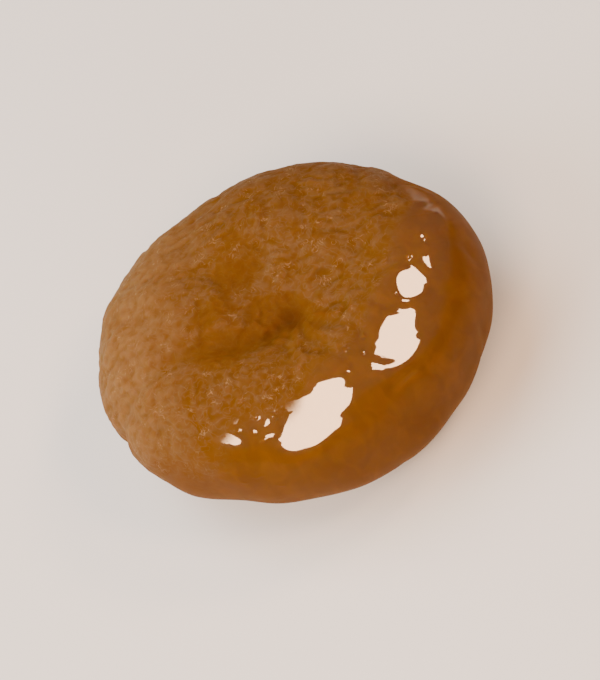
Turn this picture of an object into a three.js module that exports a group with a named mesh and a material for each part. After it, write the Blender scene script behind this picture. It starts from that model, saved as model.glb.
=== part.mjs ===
// A candied apricot: a whole stoned fruit, cooked in syrup and pressed flat along its stem axis.
// It lies on its blossom end, with the closed stem hollow on top.
// Units are millimetres, +Z is up, and the origin is on the ground under the middle of the fruit.
// The fruit is one piece. Its skin is a flattened ball with these forms raised from or sunk into it:
//   a broad bowl round the stem hollow, with puckers radiating from it,
//   the suture, a valley that runs from the hollow over the rim and down to the blossom end,
//   softer dents that leave the hollow on its other sides,
//   three oval spots along the near shoulder that were pressed flat,
//   slow lumps, soft folds over the crown and faint upright folds down the flank.
import * as THREE from "three";
import { mergeVertices } from "three/addons/utils/BufferGeometryUtils.js";

// Driving dimensions
const LENGTH = 46; // along X, the longest way across
const WIDTH = 38; // along Y
const HEIGHT = 24; // along Z, from the ground to the highest part of the crown
const SETTLE = 0.8; // how far the soft base has given way to its flat spot
const FULLNESS = 2.38; // 2 is an ellipsoid, more has a flatter crown and a fuller flank

// Outline seen from above: each wave swells the radius by a share, at an angle from +X
const PLAN_WAVES = [
  { count: 2, share: 0.012, angle: -28 },
  { count: 3, share: 0.006, angle: 43 },
  { count: 4, share: 0.006, angle: 4 },
  { count: 5, share: 0.005, angle: -5 },
];

// Stem hollow on the crown, each ring of it a depth and how far it reaches from the middle
const HOLLOW = { x: 1.2, y: -3.4 };
const BOWL = { depth: 2.6, reach: 11, stretch: 1.15 };
const DIMPLE = { depth: 1.5, reach: 3.6 };
const SCAR = { depth: 0.6, reach: 1.5 };
const PUCKERS = { count: 8, depth: 0.3, from: 4.4, reach: 2.8, sway: 1.8 };

// Valleys that leave the hollow, at an angle from +X, and the distances where each starts and ends
const SUTURE_LINE = { angle: 178, depth: 0.55, reach: 1.3, start: 3, end: 60, sway: 0.5 };
const VALLEYS = [
  SUTURE_LINE,
  { angle: 181, depth: 1.2, reach: 3.6, start: 0, end: 20, sway: 0.5 },
  { angle: 121, depth: 0.8, reach: 3.2, start: 5, end: 21, sway: 0.9 },
  { angle: 62, depth: 0.3, reach: 2.8, start: 4, end: 15, sway: 0.8 },
  { angle: 12, depth: 0.4, reach: 3.2, start: 3, end: 16, sway: 0.8 },
  { angle: 306, depth: 0.2, reach: 2.6, start: 3, end: 12, sway: 0.8 },
  { angle: 238, depth: 0.3, reach: 2.7, start: 4, end: 14, sway: 0.8 },
];
const VALLEY_FADE = 3; // to each side of its start

// Oval spots on the near shoulder that were pressed flat: a point on each, the way it faces, half its
// width, how many times longer it is, and how steeply it lies across the shoulder
const PRESSED = [
  { at: [-2.6, -15.1, 20.1], faces: [-0.17, -0.54, 0.83], reach: 4.4, stretch: 1.85, tilt: 40 },
  { at: [9.1, -11.2, 21.3], faces: [0.22, -0.42, 0.88], reach: 3.6, stretch: 1.15, tilt: 20 },
  { at: [13.2, -6.2, 21.6], faces: [0.33, -0.25, 0.91], reach: 2.9, stretch: 1, tilt: 0 },
];
const PRESSED_CORE = 0.45; // share of its radius over which a spot is flat
const PRESSED_SHARE = 0.85; // of the skin's roundness that the pressing took away

// Blossom end, on the underside
const TIP = { x: -1.5, y: 1.0, height: 0.5, reach: 3.0 };

// Relief of the skin: height, and the wavelength of its pattern
const LUMPS = { height: 0.14, wavelength: 18, seed: 3 };
const SWELLS = { height: 0.1, wavelength: 8, seed: 8 };
const FOLDS = { depth: 0.18, wavelength: 7, line: 0.7, seed: 5, clearOfHollow: [2, 6] };
const STREAKS = { depth: 0.1, wavelength: 8.5, line: 0.5, squash: 0.35, seed: 12 };
const SWAY = { wavelength: 12, seed: 21 }; // bends the valleys and puckers

// How far up the skin faces, 1 being straight up, where the crown and the underside begin and are full
const CROWN = [-0.1, 0.7];
const UNDERSIDE = [-0.5, -0.9];

// Mesh: cells along each edge of the cube that is blown up into the fruit
const CELLS = 28;
const CROWDING = 1.12; // over 1 draws the cells towards the crown, where the relief is finest

const WAVES = 14; // plane waves in a pattern
const GOLDEN_ANGLE = Math.PI * (3 - Math.sqrt(5));

const radians = (degrees) => (degrees * Math.PI) / 180;
const hill = (distance, reach) => Math.exp(-((distance / reach) ** 2));

function smoothstep([from, to], value) {
  const t = Math.min(Math.max((value - from) / (to - from), 0), 1);
  return t * t * (3 - 2 * t);
}

// A number from 0 to 1 that looks random but is the same every time
function scatter(index, seed) {
  const value = Math.sin(index * 12.9898 + seed * 78.233) * 43758.5453;
  return value - Math.floor(value);
}

// A meandering pattern about 0: plane waves of one wavelength, spread evenly over all directions
function ripple(point, { wavelength, seed }) {
  let sum = 0;
  for (let i = 0; i < WAVES; i++) {
    const up = (i + 0.5) / WAVES;
    const flat = Math.sqrt(1 - up * up);
    const turn = i * GOLDEN_ANGLE + seed;
    const along = point.x * flat * Math.cos(turn) + point.y * flat * Math.sin(turn) + point.z * up;
    sum += Math.sin(2 * Math.PI * (along / wavelength + scatter(i, seed)));
  }
  return sum / Math.sqrt(WAVES / 2);
}

// The direction of a point of the cube, with its cells evened out and drawn towards the crown
function directionOf(cubePoint) {
  const even = (value) => Math.tan((value * Math.PI) / 4);
  const ball = new THREE.Vector3(even(cubePoint.x), even(cubePoint.y), even(cubePoint.z)).normalize();
  const polar = Math.PI * (Math.acos(ball.z) / Math.PI) ** CROWDING;
  const turn = Math.atan2(ball.y, ball.x);
  return new THREE.Vector3(
    Math.sin(polar) * Math.cos(turn), Math.sin(polar) * Math.sin(turn), Math.cos(polar));
}

// The smooth body in a direction, and which way its skin faces there
function bodyAt(direction) {
  const flat = Math.hypot(direction.x, direction.y);
  const size = (flat ** FULLNESS + Math.abs(direction.z) ** FULLNESS) ** (-1 / FULLNESS);
  const turn = Math.atan2(direction.y, direction.x);
  let plan = size;
  for (const wave of PLAN_WAVES) {
    plan += size * wave.share * Math.cos(wave.count * (turn - radians(wave.angle)));
  }
  const point = new THREE.Vector3(
    (LENGTH / 2) * plan * direction.x, (WIDTH / 2) * plan * direction.y, (HEIGHT / 2) * size * direction.z);
  const flank = flat ** (FULLNESS - 2);
  const facing = new THREE.Vector3(
    (flank * direction.x) / LENGTH,
    (flank * direction.y) / WIDTH,
    (Math.abs(direction.z) ** (FULLNESS - 2) * direction.z) / HEIGHT,
  ).normalize();
  return { point, facing };
}

function valleyDepth(x, y, sway, valley) {
  const angle = radians(valley.angle);
  const along = x * Math.cos(angle) + y * Math.sin(angle);
  const across = y * Math.cos(angle) - x * Math.sin(angle) + valley.sway * sway;
  const fadeIn = smoothstep([valley.start - VALLEY_FADE, valley.start + VALLEY_FADE], along);
  const fadeOut = smoothstep([valley.end, valley.end / 2], along);
  return valley.depth * fadeIn * fadeOut * hill(across, valley.reach);
}

// How far the skin stands out from the smooth body at a point
function reliefAt(point, facing) {
  const crown = smoothstep(CROWN, facing.z);
  const sway = ripple(point, SWAY);
  const x = point.x - HOLLOW.x;
  const y = point.y - HOLLOW.y;
  const away = Math.hypot(x, y);
  const turn = Math.atan2(y, x);

  let sunk = BOWL.depth * hill(Math.hypot(x / BOWL.stretch, y), BOWL.reach);
  sunk += DIMPLE.depth * hill(away, DIMPLE.reach);
  sunk += SCAR.depth * hill(away, SCAR.reach);
  const pucker = 0.5 + 0.5 * Math.cos(PUCKERS.count * turn + PUCKERS.sway * sway);
  sunk += PUCKERS.depth * pucker * hill(away - PUCKERS.from, PUCKERS.reach);
  for (const valley of VALLEYS) sunk += valleyDepth(x, y, sway, valley);
  sunk += FOLDS.depth * smoothstep(FOLDS.clearOfHollow, away) * hill(ripple(point, FOLDS), FOLDS.line);
  let height = -crown * sunk;

  height -= (1 - crown) * valleyDepth(x, y, sway, SUTURE_LINE);
  const tall = new THREE.Vector3(point.x, point.y, point.z * STREAKS.squash);
  height -= (1 - crown) * STREAKS.depth * hill(ripple(tall, STREAKS), STREAKS.line);

  const fromTip = Math.hypot(point.x - TIP.x, point.y - TIP.y);
  height += smoothstep(UNDERSIDE, facing.z) * TIP.height * hill(fromTip, TIP.reach);
  height += LUMPS.height * ripple(point, LUMPS);
  height += SWELLS.height * ripple(point, SWELLS);
  return height;
}

// Flattens the skin round a point towards the plane through its mean level there
function press(skin, { at, faces, reach, stretch, tilt }) {
  const middle = new THREE.Vector3(...at);
  const up = new THREE.Vector3(...faces).normalize();
  const long = new THREE.Vector3(-up.y, up.x, 0).normalize().applyAxisAngle(up, radians(tilt));
  const point = new THREE.Vector3();
  const spots = [];
  for (let i = 0; i < skin.count; i++) {
    point.fromBufferAttribute(skin, i).sub(middle);
    const rise = point.dot(up);
    point.addScaledVector(up, -rise).addScaledVector(long, -point.dot(long) * (1 - 1 / stretch));
    const share = smoothstep([reach, reach * PRESSED_CORE], point.length());
    if (share > 0 && rise > -reach) spots.push({ i, rise, share });
  }
  const total = spots.reduce((sum, spot) => sum + spot.share, 0);
  const mean = spots.reduce((sum, spot) => sum + spot.share * spot.rise, 0) / total;
  for (const { i, rise, share } of spots) {
    point.fromBufferAttribute(skin, i).addScaledVector(up, PRESSED_SHARE * share * (mean - rise));
    skin.setXYZ(i, point.x, point.y, point.z);
  }
}

function fruitGeometry() {
  const cube = new THREE.BoxGeometry(2, 2, 2, CELLS, CELLS, CELLS);
  cube.deleteAttribute("normal");
  cube.deleteAttribute("uv");
  const geometry = mergeVertices(cube);
  const skin = geometry.getAttribute("position");
  for (let i = 0; i < skin.count; i++) {
    const { point, facing } = bodyAt(directionOf(new THREE.Vector3().fromBufferAttribute(skin, i)));
    point.addScaledVector(facing, reliefAt(point, facing));
    skin.setXYZ(i, point.x, point.y, point.z);
  }

  // Brought to its stated size, and centred on the ground with its base below it by the settling
  geometry.computeBoundingBox();
  const size = geometry.boundingBox.getSize(new THREE.Vector3());
  const middle = geometry.boundingBox.getCenter(new THREE.Vector3());
  geometry.translate(-middle.x, -middle.y, -geometry.boundingBox.min.z);
  geometry.scale(LENGTH / size.x, WIDTH / size.y, (HEIGHT + SETTLE) / size.z);
  geometry.translate(0, 0, -SETTLE);
  for (const spot of PRESSED) press(skin, spot);

  // The base gives way to one flat spot
  for (let i = 0; i < skin.count; i++) skin.setZ(i, Math.max(skin.getZ(i), 0));
  return geometry;
}

function candiedSkin() {
  return new THREE.MeshStandardMaterial({ color: 0x9a5a16, roughness: 0.32, metalness: 0 });
}

const apricot = new THREE.Mesh(fruitGeometry(), candiedSkin());
apricot.name = "apricot";

const part = new THREE.Group();
part.add(apricot);

export default part;
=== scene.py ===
import math

import bmesh
import bpy
import numpy as np
from mathutils import Matrix, Vector


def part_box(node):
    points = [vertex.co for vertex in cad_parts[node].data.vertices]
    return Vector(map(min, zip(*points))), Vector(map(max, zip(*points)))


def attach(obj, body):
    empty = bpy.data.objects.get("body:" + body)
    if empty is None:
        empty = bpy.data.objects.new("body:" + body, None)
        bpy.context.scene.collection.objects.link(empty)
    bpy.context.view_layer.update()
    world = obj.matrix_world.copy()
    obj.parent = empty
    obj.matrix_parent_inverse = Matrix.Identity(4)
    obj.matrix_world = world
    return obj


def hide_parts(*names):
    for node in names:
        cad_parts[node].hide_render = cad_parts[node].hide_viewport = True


# A candied apricot lying on a pale floor. Lengths are in millimetres until a mesh is filled in.

print("frame")
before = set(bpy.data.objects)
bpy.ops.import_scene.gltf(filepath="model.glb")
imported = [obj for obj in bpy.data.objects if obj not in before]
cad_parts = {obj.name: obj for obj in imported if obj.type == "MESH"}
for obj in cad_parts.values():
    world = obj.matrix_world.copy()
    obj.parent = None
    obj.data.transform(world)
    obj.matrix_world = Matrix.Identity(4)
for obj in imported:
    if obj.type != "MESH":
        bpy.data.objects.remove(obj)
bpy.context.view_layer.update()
mm = 0.001
lowCorner, highCorner = (Vector(corner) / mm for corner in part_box("apricot"))
fruitSize = highCorner - lowCorner

# The form of the whole fruit, the same as its solid
form = {
    "settle": 0.8,  # how far the soft base has given way to its flat spot
    "fullness": 2.38,  # 2 is an ellipsoid, more is squarer from the side
    "planWaves": [(2, 0.012, -28), (3, 0.006, 43), (4, 0.006, 4), (5, 0.005, -5)],  # count, share, angle
    "hollow": (1.2, -3.4),
    "bowl": {"depth": 2.6, "reach": 11, "stretch": 1.15},
    "dimple": {"depth": 1.5, "reach": 3.6},
    "scar": {"depth": 0.6, "reach": 1.5},
    "puckers": {"count": 8, "depth": 0.3, "start": 4.4, "reach": 2.8, "sway": 1.8},
    "tip": {"x": -1.5, "y": 1.0, "height": 0.5, "reach": 3.0},
    "lumps": {"height": 0.14, "wavelength": 18, "seed": 3},
    "swells": {"height": 0.1, "wavelength": 8, "seed": 8},
    "folds": {"depth": 0.18, "wavelength": 7, "line": 0.7, "seed": 5, "clear": (2, 6)},
    "streaks": {"depth": 0.1, "wavelength": 8.5, "line": 0.5, "squash": 0.35, "seed": 12},
    "sway": {"wavelength": 12, "seed": 21},
    "crown": (-0.1, 0.7),  # how far up the skin faces where the crown starts and is full
    "underside": (-0.5, -0.9),
}

# Valleys that leave the stem hollow: angle from +X, depth, reach, start, end, sway
sutureLine = (178, 0.55, 1.3, 3, 60, 0.5)
valleys = [
    sutureLine,
    (181, 1.2, 3.6, 0, 20, 0.5),
    (121, 0.8, 3.2, 5, 21, 0.9),
    (62, 0.3, 2.8, 4, 15, 0.8),
    (12, 0.4, 3.2, 3, 16, 0.8),
    (306, 0.2, 2.6, 3, 12, 0.8),
    (238, 0.3, 2.7, 4, 14, 0.8),
]
valleyFade = 3

# Oval spots on the near shoulder that were pressed flat: a point on each, the way it faces, half its
# width, how many times longer it is, and how steeply it lies across the shoulder
pressedSpots = [
    ((-2.6, -15.1, 20.1), (-0.17, -0.54, 0.83), 4.4, 1.85, 40),
    ((9.1, -11.2, 21.3), (0.22, -0.42, 0.88), 3.6, 1.15, 20),
    ((13.2, -6.2, 21.6), (0.33, -0.25, 0.91), 2.9, 1, 0),
]
pressing = {"core": 0.45, "share": 0.85}  # how much of a spot is flat, and how flat

# The finer skin, which only the visual mesh has
skin = {
    "cuts": 125,  # cuts across each edge of the starting cube
    "crowding": 1.22,  # over 1 draws the cells towards the crown
    "matteMiddle": (-8, 14),  # the skin is dull inside a wide circle round this point
    "matteEdge": (28.5, 25),  # it fades out between these distances
    "glossEdge": (26.2, 27.4),  # and the syrup glaze begins here
    "wrinkleEdge": (27.5, 24.5),
    "ragged": {"wavelength": 9, "height": 0.5, "seed": 90},  # how the circle wanders
    "matteFacing": (-0.7, 0.2),  # the dull skin fades out where it turns down
    "underFacing": (-0.6, -0.9),  # and comes back on the underside
    "underShare": 0.6,
    "steepSide": {"facing": (0.67, 0.8), "left": 0.05},  # the glaze has run off the steep skin
    "farSide": {"facing": (0.45, 0.05), "left": 0.15},  # and off the side that faces away
    "heading": 149,  # the angle from +X that counts as left
    "leftSheen": (6, 18.5),  # how far to the left the painted pale sheen starts and is full
    "seamShows": 2.5,  # how much more than its depth the seam colours the flank
    "dimpleShows": 0.75,  # how far the dimple's colour reaches, next to its depth
    "flankFacing": (0.55, 0),  # the flank is painted darker, as painted shade, where the skin faces up less than this
    "nearSideShade": {"from": (-3, -13), "less": 0.35},  # where the dull skin is painted darker, as painted shade, by thinning its pale ridges
    "warp": {"wavelength": 6, "height": 0.3, "seeds": (71, 72, 73)},
    "wrinkles": {"wavelength": 3.4, "height": 0.1, "stretch": 0.7, "seed": 31, "shows": 0.25},
    "crinkles": {"wavelength": 1.3, "height": 0.068, "stretch": 0.65, "seed": 44, "shows": 0.4},
    "pores": {"wavelength": 0.85, "height": 0.045, "stretch": 0.75, "seed": 57, "shows": 0.35},
    "wormEdges": (-0.9, 0.9),  # how softly the wrinkles rise
    "wormSteepest": 0.6,
    "uneven": {"wavelength": 7, "seed": 93, "middle": 0.75, "swing": 0.5, "limits": (0.25, 1.5)},
    "curls": {"away": 5, "reach": 2, "more": 0.9},  # stronger wrinkles round the stem hollow
    "mottle": {"wavelength": 4.6, "height": 0.06, "seed": 52, "sunk": (0.5, -1.1)},
    "flankFolds": {"wavelength": 7, "height": 0.03, "stretch": 0.5, "seed": 66},
    "pimples": {"wavelength": 1.3, "height": 0.2, "peaks": (1.4, 2.6), "seed": 81},
    "pimpleRing": {"away": 28, "reach": 2.2, "left": (7, 0), "far": (4, 0)},  # along the gloss's edge
}

# Each ripple is a sum of this many waves, and each wave is turned by this angle from the last
waves = 14
goldenAngle = math.pi * (3 - math.sqrt(5))


def hill(distance, reach):
    return np.exp(-((distance / reach) ** 2))


def smoothstep(edges, value):
    t = np.clip((value - edges[0]) / (edges[1] - edges[0]), 0, 1)
    return t * t * (3 - 2 * t)


def scatter(index, seed):
    value = math.sin(index * 12.9898 + seed * 78.233) * 43758.5453
    return value - math.floor(value)


def ripple(points, wavelength, seed, steepest=1):
    # a meandering pattern about 0: plane waves of one wavelength, in directions up to the steepest
    total = np.zeros(len(points))
    for i in range(waves):
        up = steepest * (i + 0.5) / waves
        flat = math.sqrt(1 - up * up)
        turn = i * goldenAngle + seed
        heading = (flat * math.cos(turn), flat * math.sin(turn), up)
        total += np.sin(2 * math.pi * (points @ heading / wavelength + scatter(i, seed)))
    return total / math.sqrt(waves / 2)


def directionsOf(cube):
    # evens out the cells of the cube on a ball, and draws them towards the crown
    ball = np.tan(cube * math.pi / 4)
    ball /= np.linalg.norm(ball, axis=1, keepdims=True)
    polar = math.pi * (np.arccos(np.clip(ball[:, 2], -1, 1)) / math.pi) ** skin["crowding"]
    turn = np.arctan2(ball[:, 1], ball[:, 0])
    return np.stack([np.sin(polar) * np.cos(turn), np.sin(polar) * np.sin(turn), np.cos(polar)], axis=1)


def bodyAt(direction):
    # the smooth flattened ball, and which way its skin faces
    fullness = form["fullness"]
    flat = np.hypot(direction[:, 0], direction[:, 1])
    up = np.abs(direction[:, 2])
    size = (flat**fullness + up**fullness) ** (-1 / fullness)
    turn = np.arctan2(direction[:, 1], direction[:, 0])
    plan = np.ones(len(direction))
    for count, share, angle in form["planWaves"]:
        plan += share * np.cos(count * (turn - math.radians(angle)))
    halves = np.array(fruitSize) / 2
    stretch = np.stack([size * plan, size * plan, size], axis=1)
    points = direction * stretch * halves
    bend = np.stack([flat ** (fullness - 2), flat ** (fullness - 2), up ** (fullness - 2)], axis=1)
    facing = bend * direction / halves
    return points, facing / np.linalg.norm(facing, axis=1, keepdims=True)


def valleyDepth(x, y, sway, valley):
    angle, depth, reach, start, end, bending = valley
    angle = math.radians(angle)
    along = x * math.cos(angle) + y * math.sin(angle)
    across = y * math.cos(angle) - x * math.sin(angle) + bending * sway
    fadeIn = smoothstep((start - valleyFade, start + valleyFade), along)
    return depth * fadeIn * smoothstep((end, end / 2), along) * hill(across, reach)


def reliefAt(points, facing):
    # how far the skin stands out from the smooth body
    crown = smoothstep(form["crown"], facing[:, 2])
    sway = ripple(points, **form["sway"])
    x = points[:, 0] - form["hollow"][0]
    y = points[:, 1] - form["hollow"][1]
    away = np.hypot(x, y)
    bowl, dimple, scar, puckers = (form[name] for name in ("bowl", "dimple", "scar", "puckers"))
    sunk = bowl["depth"] * hill(np.hypot(x / bowl["stretch"], y), bowl["reach"])
    sunk += dimple["depth"] * hill(away, dimple["reach"])
    sunk += scar["depth"] * hill(away, scar["reach"])
    pucker = 0.5 + 0.5 * np.cos(puckers["count"] * np.arctan2(y, x) + puckers["sway"] * sway)
    sunk += puckers["depth"] * pucker * hill(away - puckers["start"], puckers["reach"])
    valleySum = sum(valleyDepth(x, y, sway, valley) for valley in valleys)
    sunk += valleySum
    folds = form["folds"]
    fold = hill(ripple(points, folds["wavelength"], folds["seed"]), folds["line"])
    sunk += folds["depth"] * smoothstep(folds["clear"], away) * fold
    height = -crown * sunk
    seam = (1 - crown) * valleyDepth(x, y, sway, sutureLine)
    height -= seam
    streaks = form["streaks"]
    tall = points * (1, 1, streaks["squash"])
    streak = hill(ripple(tall, streaks["wavelength"], streaks["seed"]), streaks["line"])
    height -= (1 - crown) * streaks["depth"] * streak
    tip = form["tip"]
    fromTip = np.hypot(points[:, 0] - tip["x"], points[:, 1] - tip["y"])
    height += smoothstep(form["underside"], facing[:, 2]) * tip["height"] * hill(fromTip, tip["reach"])
    for slow in (form["lumps"], form["swells"]):
        height += slow["height"] * ripple(points, slow["wavelength"], slow["seed"])
    # the dimple's dark colour: partly the stem scar's own colour, partly painted shade in the hollow
    dark = dimple["depth"] * hill(away, dimple["reach"] * skin["dimpleShows"])
    return height, crown * (valleySum + dark) + skin["seamShows"] * seam


def placed(points):
    # brought to the solid's size, on the ground, with the base sunk by the settling
    low, high = points.min(axis=0), points.max(axis=0)
    size = np.array(fruitSize) + (0, 0, form["settle"])
    points = (points - (low + high) / 2) / (high - low) * size
    points += np.array((lowCorner + highCorner) / 2) - (0, 0, form["settle"] / 2)
    return points


def pressed(points, middle, faces, reach, stretch, tilt):
    # flattens the skin round a point towards the plane through its mean level there
    up = Vector(faces).normalized()
    long = Matrix.Rotation(math.radians(tilt), 3, up) @ Vector((-up.y, up.x, 0)).normalized()
    arms = points - middle
    rise = arms @ up
    arms -= rise[:, None] * up
    arms -= ((1 - 1 / stretch) * (arms @ long))[:, None] * long
    share = smoothstep((reach, reach * pressing["core"]), np.linalg.norm(arms, axis=1)) * (rise > -reach)
    mean = (share * rise).sum() / share.sum()
    return points + (pressing["share"] * share * (mean - rise))[:, None] * up, share


def wormsAt(points, worms):
    # short meandering ridges from 0 to 1, longer along X than across it
    stretched = points * (worms["stretch"], 1, 1)
    pattern = ripple(stretched, worms["wavelength"], worms["seed"], skin["wormSteepest"])
    return smoothstep(skin["wormEdges"], pattern)


def awayFromMiddle(points):
    # how far out from the middle of the dull skin, with a ragged border
    middle, ragged = skin["matteMiddle"], skin["ragged"]
    away = np.hypot(points[:, 0] - middle[0], points[:, 1] - middle[1])
    return away + ragged["height"] * ripple(points, ragged["wavelength"], ragged["seed"])


def leftwards(points):
    heading = math.radians(skin["heading"])
    return points[:, 0] * math.cos(heading) + points[:, 1] * math.sin(heading)


def dullAt(facing, away, edge):
    # the wide circle on top, and the underside
    top = smoothstep(skin["matteFacing"], facing[:, 2]) * smoothstep(edge, away)
    return np.maximum(top, skin["underShare"] * smoothstep(skin["underFacing"], facing[:, 2]))


def strengthAt(points):
    # the wrinkles are uneven, and strongest round the stem hollow
    uneven, curls = skin["uneven"], skin["curls"]
    swing = uneven["swing"] * ripple(points, uneven["wavelength"], uneven["seed"])
    fromHollow = np.hypot(points[:, 0] - form["hollow"][0], points[:, 1] - form["hollow"][1])
    more = 1 + curls["more"] * hill(fromHollow - curls["away"], curls["reach"])
    return more * np.clip(uneven["middle"] + swing, *uneven["limits"])


def pimplesAt(points, facing, away):
    # a few tiny pimples along the edge of the gloss
    pimples, ring = skin["pimples"], skin["pimpleRing"]
    peaks = smoothstep(pimples["peaks"], ripple(points, pimples["wavelength"], pimples["seed"]))
    border = smoothstep(skin["matteFacing"], facing[:, 2]) * hill(away - ring["away"], ring["reach"])
    border *= smoothstep(ring["left"], leftwards(points)) * smoothstep(ring["far"], points[:, 1])
    return pimples["height"] * border * peaks


def glazeAt(away, normals):
    glaze = smoothstep(skin["glossEdge"], away)
    for side, facing in (("steepSide", normals[:, 2]), ("farSide", normals[:, 1])):
        left = skin[side]["left"]
        glaze *= left + (1 - left) * smoothstep(skin[side]["facing"], facing)
    return glaze


def fineSkin(points, facing, normals, smooth):
    # wrinkles of three sizes on the dull skin, soft folds on the rest, and the looks of both
    warp, mottle = skin["warp"], skin["mottle"]
    nearSideShade, flankFolds = skin["nearSideShade"], skin["flankFolds"]
    bends = [ripple(points, warp["wavelength"], seed) for seed in warp["seeds"]]
    bent = points + warp["height"] * np.stack(bends, axis=1)
    away = awayFromMiddle(points)
    matte = dullAt(facing, away, skin["matteEdge"])
    wrinkled = dullAt(facing, away, skin["wrinkleEdge"])
    spots = ripple(bent, mottle["wavelength"], mottle["seed"])
    height = mottle["height"] * spots
    ridge = np.zeros(len(points))
    strength = strengthAt(points)
    for name, stands in (("wrinkles", strength), ("crinkles", strength), ("pores", 1)):
        worms = wormsAt(bent, skin[name])
        height += stands * skin[name]["height"] * (worms - 0.5)
        ridge += skin[name]["shows"] * worms
    height *= wrinkled
    height -= (1 - matte) * (1 - smooth) * flankFolds["height"] * wormsAt(bent, flankFolds)
    height += (1 - smooth) * pimplesAt(points, facing, away)
    looks = {
        "matte": matte,
        # the ridges pale the skin with sugar and painted crest light; the near side gets less, as
        # painted shade
        "ridge": ridge * (1 - nearSideShade["less"] * smoothstep(nearSideShade["from"], points[:, 1])),
        "glaze": glazeAt(away, normals),
        # painted pale sheen on the left of the dull skin
        "leftSheen": matte * smoothstep(skin["leftSheen"], leftwards(points)),
        "sunk": smoothstep(mottle["sunk"], spots),
        # painted shade low on the flank
        "flank": smoothstep(skin["flankFacing"], facing[:, 2]),
    }
    return height, looks


def addAttribute(mesh, name, values):
    mesh.attributes.new(name, "FLOAT", "POINT").data.foreach_set("value", values.astype(np.float32))


def normalsOf(mesh):
    normals = np.empty(len(mesh.vertices) * 3, np.float32)
    mesh.vertex_normals.foreach_get("vector", normals)
    return normals.reshape(-1, 3).astype(float)


def fruitMesh():
    shape = bmesh.new()
    bmesh.ops.create_cube(shape, size=2)
    bmesh.ops.subdivide_edges(shape, edges=shape.edges[:], cuts=skin["cuts"], use_grid_fill=True)
    mesh = bpy.data.meshes.new("candiedApricot")
    shape.to_mesh(mesh)
    shape.free()

    cube = np.empty(len(mesh.vertices) * 3, np.float32)
    mesh.vertices.foreach_get("co", cube)
    body, facing = bodyAt(directionsOf(cube.reshape(-1, 3).astype(float)))
    height, valley = reliefAt(body, facing)
    points = placed(body + facing * height[:, None])
    smooth = np.zeros(len(points))
    for spot in pressedSpots:
        points, share = pressed(points, *spot)
        smooth = np.maximum(smooth, share)
    mesh.vertices.foreach_set("co", (points * mm).ravel())
    mesh.update()

    normals = normalsOf(mesh)
    height, looks = fineSkin(points, facing, normals, smooth)
    points += normals * height[:, None]
    points[:, 2] = np.maximum(points[:, 2], lowCorner.z)
    mesh.vertices.foreach_set("co", (points * mm).ravel())
    mesh.shade_smooth()
    for name, values in (looks | {"valley": valley}).items():
        addAttribute(mesh, name, values)
    mesh.update()
    return mesh


class Wire:
    # an output of a node, and sums on it add Math nodes
    def __init__(self, surface, socket):
        self.surface = surface
        self.socket = socket

    def calculate(self, operation, *terms):
        return self.surface.add("ShaderNodeMath", {"operation": operation}, dict(enumerate(terms)))

    def __add__(self, other):
        return self.calculate("ADD", self, other)

    def __sub__(self, other):
        return self.calculate("SUBTRACT", self, other)

    def __rsub__(self, other):
        return self.calculate("SUBTRACT", other, self)

    def __mul__(self, other):
        return self.calculate("MULTIPLY", self, other)

    def __pow__(self, other):
        return self.calculate("POWER", self, other)

    def clamped(self):
        return self.calculate("MINIMUM", self.calculate("MAXIMUM", self, 0), 1)

    __radd__ = __add__
    __rmul__ = __mul__


class Surface:
    # a material that is built one node at a time
    def __init__(self, name):
        self.material = bpy.data.materials.new(name)
        self.material.use_nodes = True
        self.tree = self.material.node_tree
        self.tree.nodes.clear()

    def add(self, kind, settings=None, sockets=None, output=0):
        node = self.tree.nodes.new(kind)
        for name, value in (settings or {}).items():
            setattr(node, name, value)
        for name, value in (sockets or {}).items():
            if isinstance(value, Wire):
                self.tree.links.new(value.socket, node.inputs[name])
            else:
                node.inputs[name].default_value = value
        return Wire(self, node.outputs[output] if len(node.outputs) else None)

    def attribute(self, name):
        return self.add("ShaderNodeAttribute", {"attribute_name": name}, output="Fac")

    def place(self):
        return self.add("ShaderNodeTexCoord", output="Object")

    def scaled(self, size, stretch=(1, 1, 1)):
        scale = [1 / (size * mm * s) for s in stretch]
        return self.add("ShaderNodeMapping", None, {"Vector": self.place(), "Scale": scale})

    def noise(self, size, detail=2.0, stretch=(1, 1, 1), distortion=0.0):
        # soft, from 0 to 1, with features of about this size in millimetres
        place = self.scaled(size, stretch)
        sockets = {"Vector": place, "Scale": 1.0, "Detail": detail, "Distortion": distortion}
        return self.add("ShaderNodeTexNoise", None, sockets)

    def ridges(self, size, distortion):
        # thin curling lines, about 0.7 between them and up to 1.5 along them
        settings = {"noise_type": "RIDGED_MULTIFRACTAL", "normalize": False}
        sockets = {"Vector": self.scaled(size), "Scale": 1.0, "Detail": 1.0, "Offset": 1.0}
        return self.add("ShaderNodeTexNoise", settings, sockets | {"Distortion": distortion})

    def blend(self, share, first, second):
        sockets = {"Factor": share, 6: first, 7: second}
        return self.add("ShaderNodeMix", {"data_type": "RGBA"}, sockets, output=2)

    def finish(self, shader):
        self.add("ShaderNodeOutputMaterial", None, {"Surface": shader})
        return self.material


def colour(red, green, blue):
    # from the 0 to 255 of a picture to Blender's linear light
    shares = [value / 255 for value in (red, green, blue)]
    return (*(((v + 0.055) / 1.055) ** 2.4 if v > 0.04 else v / 12.92 for v in shares), 1)


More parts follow.
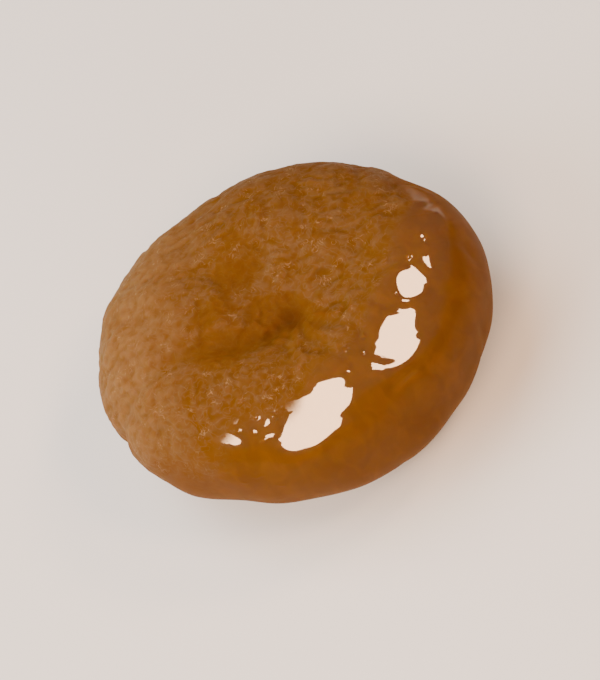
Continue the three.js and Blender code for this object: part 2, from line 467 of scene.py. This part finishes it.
candy = {
    "clear": colour(92, 56, 11),  # glassy amber of the flank and the valleys
    "pale": colour(108, 68, 16),  # faint fibres in the flank
    "scarAndShade": colour(62, 25, 4),  # dark amber: the stem scar's own colour, and painted shade in the hollow, the deepest valleys and low on the flank
    "frostAndCrestLight": colour(97, 72, 42),  # pale ridges: sugar, and painted highlight on the wrinkle crests
    "leftSheen": colour(122, 90, 54),  # painted pale sheen on the left edge
    "fleck": colour(134, 102, 64),  # fine threads of dry sugar
    "glow": (1.0, 0.42, 0.1),  # how far red, green and blue light spreads inside
    "spread": 2.4,  # and how far in all
    "flesh": 0.75,  # how much of the light sinks in
    "fleshIor": 1.47,
    "syrupIor": 1.9,  # high, so that the glints are bright
    "fleshShine": 0.02,
    "clouds": 5.5,  # how wide the drifts of amber and sugar are
    "patches": 2.4,
    "strokes": {"size": 0.8, "curl": 0.8, "width": 0.7, "sharpness": 4},  # curling pale lines, partly sugar and partly painted highlight on the wrinkles
    "threads": {"size": 1.1, "curl": 1.6, "width": 0.75, "sharpness": 12},
    "tufts": {"size": 1.6, "above": 0.52, "sharpness": 8},  # where the threads are dry and bright
    "amber": {"valley": 1.3, "sunk": 0.9, "clouds": 3, "above": 1.0, "sharpness": 1.4},
    "crests": {"all": 0.04, "ridge": 0.45, "strokes": 0.4},  # what the sugar and the painted crest light lie on; the creases between stay darker as painted shade
    "sugarAndCrestLight": {"all": 0.55, "patches": 0.8, "amber": 0.68},  # how thick the sugar and painted crest light lie, and how much amber takes away
    # how much painted pale sheen lies on the left edge, on its ridges and on its crust
    "leftSheenAmount": {"all": 0.3, "ridge": 0.4, "crust": 0.6},
    # where the valleys and the stem hollow turn dark: partly the scar's colour, partly painted shade
    "hollow": {"above": 1.5, "sharpness": 0.8},
    "shade": {"hollow": 0.85, "flank": 0.3},  # how far the scar colour and painted shade darken the hollow, and the painted shade the flank
    "fibres": {"size": 2, "rise": 1.7, "curl": 0.7, "above": 0.42, "sharpness": 1.8},
    "crust": {"sugarAndCrestLight": 0.5, "flecks": 0.45},  # how much of the skin the dry crust covers
    "roughness": {"dull": 0.62, "glaze": -0.45, "clouds": 0.05, "coat": 0.03, "crust": 0.6},
    "grain": {"size": 0.35, "strokes": 0.8, "syrup": 1.6, "syrupShare": 0.35},
    "bump": {"Strength": 0.35, "Distance": 0.05 * mm},
}


def sugarAndHighlightLines(surface, lines):
    # thin pale lines, used for the painted highlight strokes on the wrinkle crests and for the dry sugar
    # threads
    drawn = surface.ridges(lines["size"], lines["curl"]) * lines["width"]
    return (drawn ** lines["sharpness"]).clamped()


def above(wire, limits):
    # nothing up to the limit, and rising from there to 1
    return ((wire - limits["above"]) * limits["sharpness"]).clamped()


def amberShare(surface, clouds, patches):
    # where the skin is clear: in the valleys, the sunk spots and some of the drifts
    amber = candy["amber"]
    sunk = surface.attribute("valley") * amber["valley"] + surface.attribute("sunk") * amber["sunk"]
    return above(sunk + (clouds - 0.5) * amber["clouds"] + (patches - 0.5), amber)


def skinTint(surface, sugarAndCrestLight):
    # from clear amber to pale ridges of sugar with painted crest light, a painted pale sheen on the left
    # edge, a stem hollow and deepest valleys darkened partly by the scar's colour and partly by painted
    # shade, and a flank darkened by painted shade
    fibres = candy["fibres"]
    streaks = surface.noise(fibres["size"], 4, (1, 1, fibres["rise"]), fibres["curl"])
    pale = above(streaks, fibres) * (1 - surface.attribute("matte"))
    tint = surface.blend(pale, candy["clear"], candy["pale"])
    # the ridges paled with sugar and painted crest light, which leaves painted shade in the creases
    tint = surface.blend(sugarAndCrestLight, tint, candy["frostAndCrestLight"])
    leftSheenAmount, shade = candy["leftSheenAmount"], candy["shade"]
    # painted pale sheen on the left edge, more on the ridges
    leftSheenMix = surface.attribute("leftSheen") * (leftSheenAmount["all"] + leftSheenAmount["ridge"] * surface.attribute("ridge"))
    tint = surface.blend(leftSheenMix, tint, candy["leftSheen"])
    # painted shade, with the scar's own colour, in the stem hollow and deepest valleys, and painted
    # shade low on the flank
    hollow = above(surface.attribute("valley"), candy["hollow"])
    scarAndShade = (hollow * shade["hollow"] + surface.attribute("flank") * shade["flank"]).clamped()
    return surface.blend(scarAndShade, tint, candy["scarAndShade"])


def skinGrain(surface, strokes):
    # fine grain where the skin is dull, slow waves where syrup covers it
    matte = surface.attribute("matte")
    grain = candy["grain"]
    dull = surface.noise(grain["size"], 3) + grain["strokes"] * strokes
    syrup = surface.noise(grain["syrup"], 2) * grain["syrupShare"]
    bumps = dull * matte + syrup * (1 - matte)
    return surface.add("ShaderNodeBump", None, candy["bump"] | {"Height": bumps})


def fleshShader(surface, tint, clouds, normal):
    # soft flesh that light sinks into, under a coat of syrup
    glaze = surface.attribute("glaze")
    rough = candy["roughness"]
    return surface.add("ShaderNodeBsdfPrincipled", {"subsurface_method": "RANDOM_WALK"}, {
        "Base Color": tint,
        "Roughness": rough["dull"] + rough["glaze"] * glaze + rough["clouds"] * clouds,
        "Normal": normal,
        "IOR": candy["fleshIor"],
        "Subsurface Weight": candy["flesh"],
        "Subsurface Radius": candy["glow"],
        "Subsurface Scale": candy["spread"] * mm,
        "Specular IOR Level": candy["fleshShine"],
        "Coat Weight": glaze,
        "Coat Roughness": rough["coat"],
        "Coat IOR": candy["syrupIor"],
    })


def crustShader(surface, flecks, normal):
    # dry sugar on the ridges, tinted with the painted crest light too, paler with the painted sheen on
    # the left edge and in the flecks
    leftSheenAmount = surface.attribute("leftSheen") * candy["leftSheenAmount"]["crust"]
    leftSheenMix = surface.blend(leftSheenAmount, candy["frostAndCrestLight"], candy["leftSheen"])
    return surface.add("ShaderNodeBsdfPrincipled", None, {
        "Base Color": surface.blend(flecks, leftSheenMix, candy["fleck"]),
        "Roughness": candy["roughness"]["crust"],
        "Normal": normal,
    })


def candyMaterial():
    surface = Surface("candiedSkin")
    matte = surface.attribute("matte")
    clouds = surface.noise(candy["clouds"], 3)
    patches = surface.noise(candy["patches"], 2)
    strokes = sugarAndHighlightLines(surface, candy["strokes"])
    amber = amberShare(surface, clouds, patches)
    crest, thick = candy["crests"], candy["sugarAndCrestLight"]
    # the wrinkle crests are paled with sugar and painted highlight, which leaves the creases darker as
    # painted shade
    crests = crest["all"] + crest["ridge"] * surface.attribute("ridge") + crest["strokes"] * strokes
    sugarAndCrestLight = matte * crests * (thick["all"] + thick["patches"] * patches)
    sugarAndCrestLight = (sugarAndCrestLight * (1 - thick["amber"] * amber)).clamped()
    tufts = above(surface.noise(candy["tufts"]["size"], 1), candy["tufts"])
    flecks = matte * sugarAndHighlightLines(surface, candy["threads"]) * (1 - amber) * tufts
    normal = skinGrain(surface, strokes)
    flesh = fleshShader(surface, skinTint(surface, sugarAndCrestLight), clouds, normal)
    crust = crustShader(surface, flecks, normal)
    cover = (sugarAndCrestLight * candy["crust"]["sugarAndCrestLight"] + flecks * candy["crust"]["flecks"]).clamped()
    return surface.finish(surface.add("ShaderNodeMixShader", None, {0: cover, 1: flesh, 2: crust}))


def makeApricot():
    mesh = fruitMesh()
    mesh.materials.append(candyMaterial())
    fruit = bpy.data.objects.new("candiedApricot", mesh)
    bpy.context.scene.collection.objects.link(fruit)
    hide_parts("apricot")
    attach(fruit, "root")


# The floor, lamps and camera are measured in metres
studio = {
    "floorWidth": 1.6,
    "floorColour": (0.78, 0.77, 0.75, 1),
    "cloudSize": 0.06,  # of the faint clouds on the floor
    "cloudShade": 0.96,
    "floorRoughness": 0.7,
    "air": 0.15,  # strength of the light from all around
    "airColour": (1, 0.98, 0.95, 1),
    "plainLight": (1, 1, 1),
    "warmLight": (1, 0.58, 0.32),  # of the lamps that show in the gloss
}

# name, direction from the fruit, distance, width, height, watts, whether it shows in the gloss
lamps = [
    ("nearLamp", (-0.26, -0.56, 0.79), 0.5, 0.16, 0.15, 2.4, True),
    ("cornerLamp", (0.43, -0.28, 0.86), 0.5, 0.1, 0.09, 0.9, True),
    ("sideLamp", (0.60, 0.08, 0.80), 0.5, 0.09, 0.09, 0.8, True),
    ("topLamp", (-0.35, 0.2, 0.91), 0.6, 0.4, 0.4, 3.3, False),
    ("frontLamp", (-0.1, -0.9, 0.35), 0.8, 0.5, 0.4, 2.5, False),
    ("fillLamp", (-0.75, -0.2, 0.55), 0.8, 0.5, 0.4, 6.0, False),
]

shot = {
    "elevation": 58,
    "turn": 0,  # azimuth, looking along +Y
    "roll": 26.8,  # the photograph is turned by this much
    "distance": 0.36,
    "lens": 170,
    "aim": (0, 0, 11.5 * mm),
}


def floorMaterial():
    surface = Surface("paleFloor")
    clouds = surface.noise(studio["cloudSize"] / mm, 3)
    pale = studio["floorColour"]
    shade = (*(studio["cloudShade"] * share for share in pale[:3]), 1)
    sockets = {"Base Color": surface.blend(clouds, pale, shade), "Roughness": studio["floorRoughness"]}
    return surface.finish(surface.add("ShaderNodeBsdfPrincipled", None, sockets))


def makeFloor():
    shape = bmesh.new()
    bmesh.ops.create_grid(shape, x_segments=1, y_segments=1, size=studio["floorWidth"] / 2)
    mesh = bpy.data.meshes.new("floor")
    shape.to_mesh(mesh)
    shape.free()
    mesh.materials.append(floorMaterial())
    floor = bpy.data.objects.new("floor", mesh)
    bpy.context.scene.collection.objects.link(floor)


def makeLamps():
    for name, direction, distance, width, height, power, glossy in lamps:
        light = bpy.data.lights.new(name, "AREA")
        light.shape = "RECTANGLE"
        light.size = width
        light.size_y = height
        light.energy = power
        light.color = studio["warmLight"] if glossy else studio["plainLight"]
        lamp = bpy.data.objects.new(name, light)
        lamp.visible_glossy = glossy
        away = Vector(direction).normalized()
        turned = away.to_track_quat("Z", "Y").to_matrix().to_4x4()
        lamp.matrix_world = Matrix.Translation(away * distance) @ turned
        bpy.context.scene.collection.objects.link(lamp)
    world = bpy.data.worlds.new("studioAir")
    world.use_nodes = True
    air = world.node_tree.nodes["Background"].inputs
    air["Color"].default_value = studio["airColour"]
    air["Strength"].default_value = studio["air"]
    bpy.context.scene.world = world


def makeCamera():
    lens = bpy.data.cameras.new("camera")
    lens.lens = shot["lens"]
    camera = bpy.data.objects.new("camera", lens)
    tilt = Matrix.Rotation(math.radians(90 - shot["elevation"]), 4, "X")
    turn = Matrix.Rotation(math.radians(shot["turn"]), 4, "Z")
    roll = Matrix.Rotation(math.radians(-shot["roll"]), 4, "Z")
    back = Matrix.Translation((0, 0, shot["distance"]))
    camera.matrix_world = Matrix.Translation(shot["aim"]) @ turn @ tilt @ roll @ back
    bpy.context.scene.collection.objects.link(camera)
    bpy.context.scene.camera = camera


print("camera, lamps and floor")
makeCamera()
makeLamps()
makeFloor()
print("fruit")
makeApricot()

print("finish")
